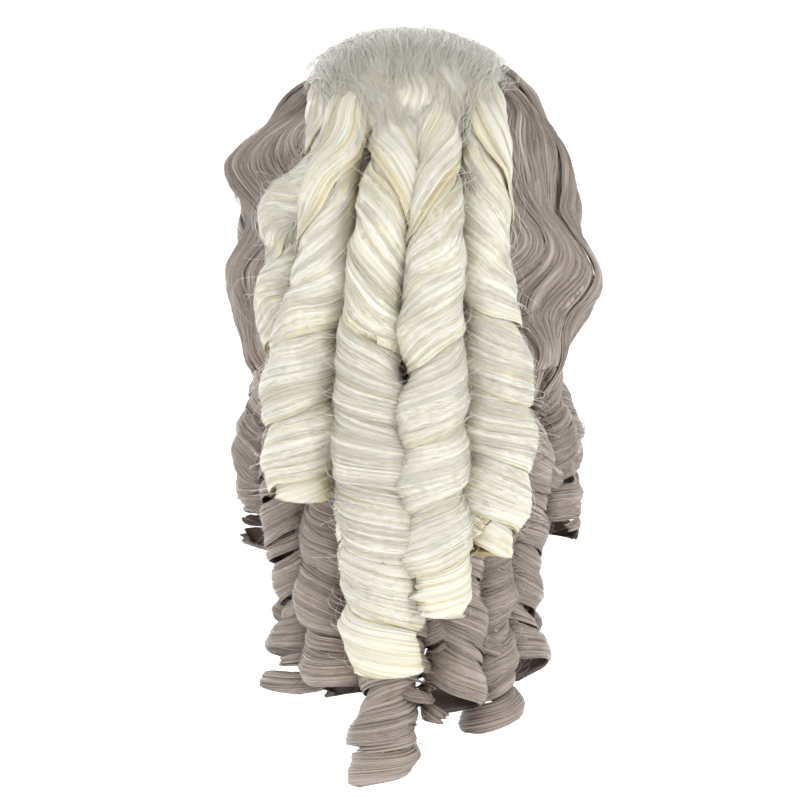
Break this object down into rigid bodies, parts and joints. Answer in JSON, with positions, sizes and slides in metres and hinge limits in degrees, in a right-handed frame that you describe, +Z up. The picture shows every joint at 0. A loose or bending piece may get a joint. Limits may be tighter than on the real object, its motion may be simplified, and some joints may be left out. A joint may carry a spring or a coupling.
{
  "type": "costume wig",
  "caption": "Two-tone costume wig on a net cap: ivory crown and hanging sausage ringlets over taupe waves and curls, with nape adjuster straps.",
  "frame": {"origin": "centre of the head opening at the height of the headband line", "axes": "+Z up, -Y towards the wearer's face, +X towards the wearer's left"},
  "size_m": [0.198, 0.233, 0.391],
  "materials": {
    "hair_ivory": "ivory synthetic hair fibre with a soft sheen",
    "hair_taupe": "grey-brown synthetic hair fibre with a soft sheen",
    "cap_net": "open knitted net, dark brown",
    "cap_elastic": "woven elastic tape, dark brown",
    "weft_thread": "machine-sewn weft thread",
    "hook_plastic": "moulded nylon",
    "stay_steel": "thin spring steel"
  },
  "bodies": {
    "root": {"adjuster_loops": "cap_elastic", "back_weft_crown": "hair_taupe", "back_weft_lower": "hair_taupe", "back_weft_middle": "hair_taupe", "back_weft_upper": "hair_taupe", "crown_lock_1": "hair_ivory", "crown_lock_2": "hair_ivory", "crown_lock_3": "hair_ivory", "crown_lock_4": "hair_ivory", "crown_lock_5": "hair_ivory", "crown_net": "cap_net", "crown_tapes": "cap_elastic", "ear_stay_left": "stay_steel", "ear_stay_right": "stay_steel", "ear_tab_left": "cap_elastic", "ear_tab_right": "cap_elastic", "front_band": "cap_elastic", "front_roll_centre": "hair_ivory", "front_roll_left": "hair_ivory", "front_roll_right": "hair_ivory", "nape_band": "cap_elastic", "nape_net": "cap_net", "nape_ringlet_1": "hair_taupe", "nape_ringlet_2": "hair_taupe", "nape_ringlet_3": "hair_taupe", "nape_ringlet_4": "hair_taupe", "side_wave_left_lower": "hair_taupe", "side_wave_left_middle": "hair_taupe", "side_wave_left_upper": "hair_taupe", "side_wave_right_lower": "hair_taupe", "side_wave_right_middle": "hair_taupe", "side_wave_right_upper": "hair_taupe", "strap_casing_left": "cap_elastic", "strap_casing_right": "cap_elastic", "temple_panel_left": "hair_taupe", "temple_panel_right": "hair_taupe", "weft_tracks": "weft_thread"},
    "cream_ringlet_1": {"cream_ringlet_1": "hair_ivory"},
    "cream_ringlet_2": {"cream_ringlet_2": "hair_ivory"},
    "cream_ringlet_3": {"cream_ringlet_3": "hair_ivory", "cream_split_curl": "hair_ivory"},
    "cream_ringlet_4": {"cream_ringlet_4": "hair_ivory"},
    "cream_ringlet_5": {"cream_ringlet_5": "hair_ivory"},
    "left_ringlet_1": {"left_ringlet_1": "hair_taupe"},
    "left_ringlet_2": {"left_ringlet_2": "hair_taupe"},
    "left_ringlet_3": {"left_ringlet_3": "hair_taupe"},
    "right_ringlet_1": {"right_ringlet_1": "hair_taupe"},
    "right_ringlet_2": {"right_ringlet_2": "hair_taupe"},
    "right_ringlet_3": {"right_ringlet_3": "hair_taupe"},
    "strap_left": {"adjuster_strap_left": "cap_elastic", "adjuster_hook_left": "hook_plastic"},
    "strap_right": {"adjuster_strap_right": "cap_elastic", "adjuster_hook_right": "hook_plastic"}
  },
  "joints": [
    {"name": "cream_ringlet_1_swing", "type": "hinge", "parent": "root", "child": "cream_ringlet_1", "pos_m": [0.0675, 0.079, 0.042], "axis": [0.6, -0.8, 0], "range_deg": [0, 40]},
    {"name": "cream_ringlet_2_swing", "type": "hinge", "parent": "root", "child": "cream_ringlet_2", "pos_m": [0.0505, 0.092, 0.066], "axis": [1, 0, 0], "range_deg": [0, 40]},
    {"name": "cream_ringlet_3_swing", "type": "hinge", "parent": "root", "child": "cream_ringlet_3", "pos_m": [0.0176, 0.098, 0.076], "axis": [1, 0, 0], "range_deg": [0, 40]},
    {"name": "cream_ringlet_4_swing", "type": "hinge", "parent": "root", "child": "cream_ringlet_4", "pos_m": [-0.0134, 0.1, 0.078], "axis": [1, 0, 0], "range_deg": [0, 40]},
    {"name": "cream_ringlet_5_swing", "type": "hinge", "parent": "root", "child": "cream_ringlet_5", "pos_m": [-0.042, 0.101, 0.054], "axis": [0.8944, 0.4472, 0], "range_deg": [0, 40]},
    {"name": "left_ringlet_1_swing", "type": "hinge", "parent": "root", "child": "left_ringlet_1", "pos_m": [0.059, 0.036, -0.08], "axis": [0.53, -0.848, 0], "range_deg": [0, 35]},
    {"name": "left_ringlet_2_swing", "type": "hinge", "parent": "root", "child": "left_ringlet_2", "pos_m": [0.074, 0.0076, -0.08], "axis": [0.1, -0.995, 0], "range_deg": [0, 35]},
    {"name": "left_ringlet_3_swing", "type": "hinge", "parent": "root", "child": "left_ringlet_3", "pos_m": [0.076, -0.0266, -0.08], "axis": [-0.333, -0.9429, 0], "range_deg": [0, 35]},
    {"name": "right_ringlet_1_swing", "type": "hinge", "parent": "root", "child": "right_ringlet_1", "pos_m": [-0.055, 0.0228, -0.08], "axis": [0.3829, 0.9238, 0], "range_deg": [0, 35]},
    {"name": "right_ringlet_2_swing", "type": "hinge", "parent": "root", "child": "right_ringlet_2", "pos_m": [-0.072, -0.0057, -0.08], "axis": [-0.08, 0.9968, 0], "range_deg": [0, 35]},
    {"name": "right_ringlet_3_swing", "type": "hinge", "parent": "root", "child": "right_ringlet_3", "pos_m": [-0.076, -0.04, -0.08], "axis": [-0.456, 0.89, 0], "range_deg": [0, 35]},
    {"name": "strap_left_slide", "type": "hinge", "parent": "root", "child": "strap_left", "pos_m": [0, 0.0193, -0.052], "axis": [0, 0, 1], "range_deg": [0, 15]},
    {"name": "strap_right_slide", "type": "hinge", "parent": "root", "child": "strap_right", "pos_m": [0, 0.0193, -0.052], "axis": [0, 0, -1], "range_deg": [0, 15]}
  ]
}
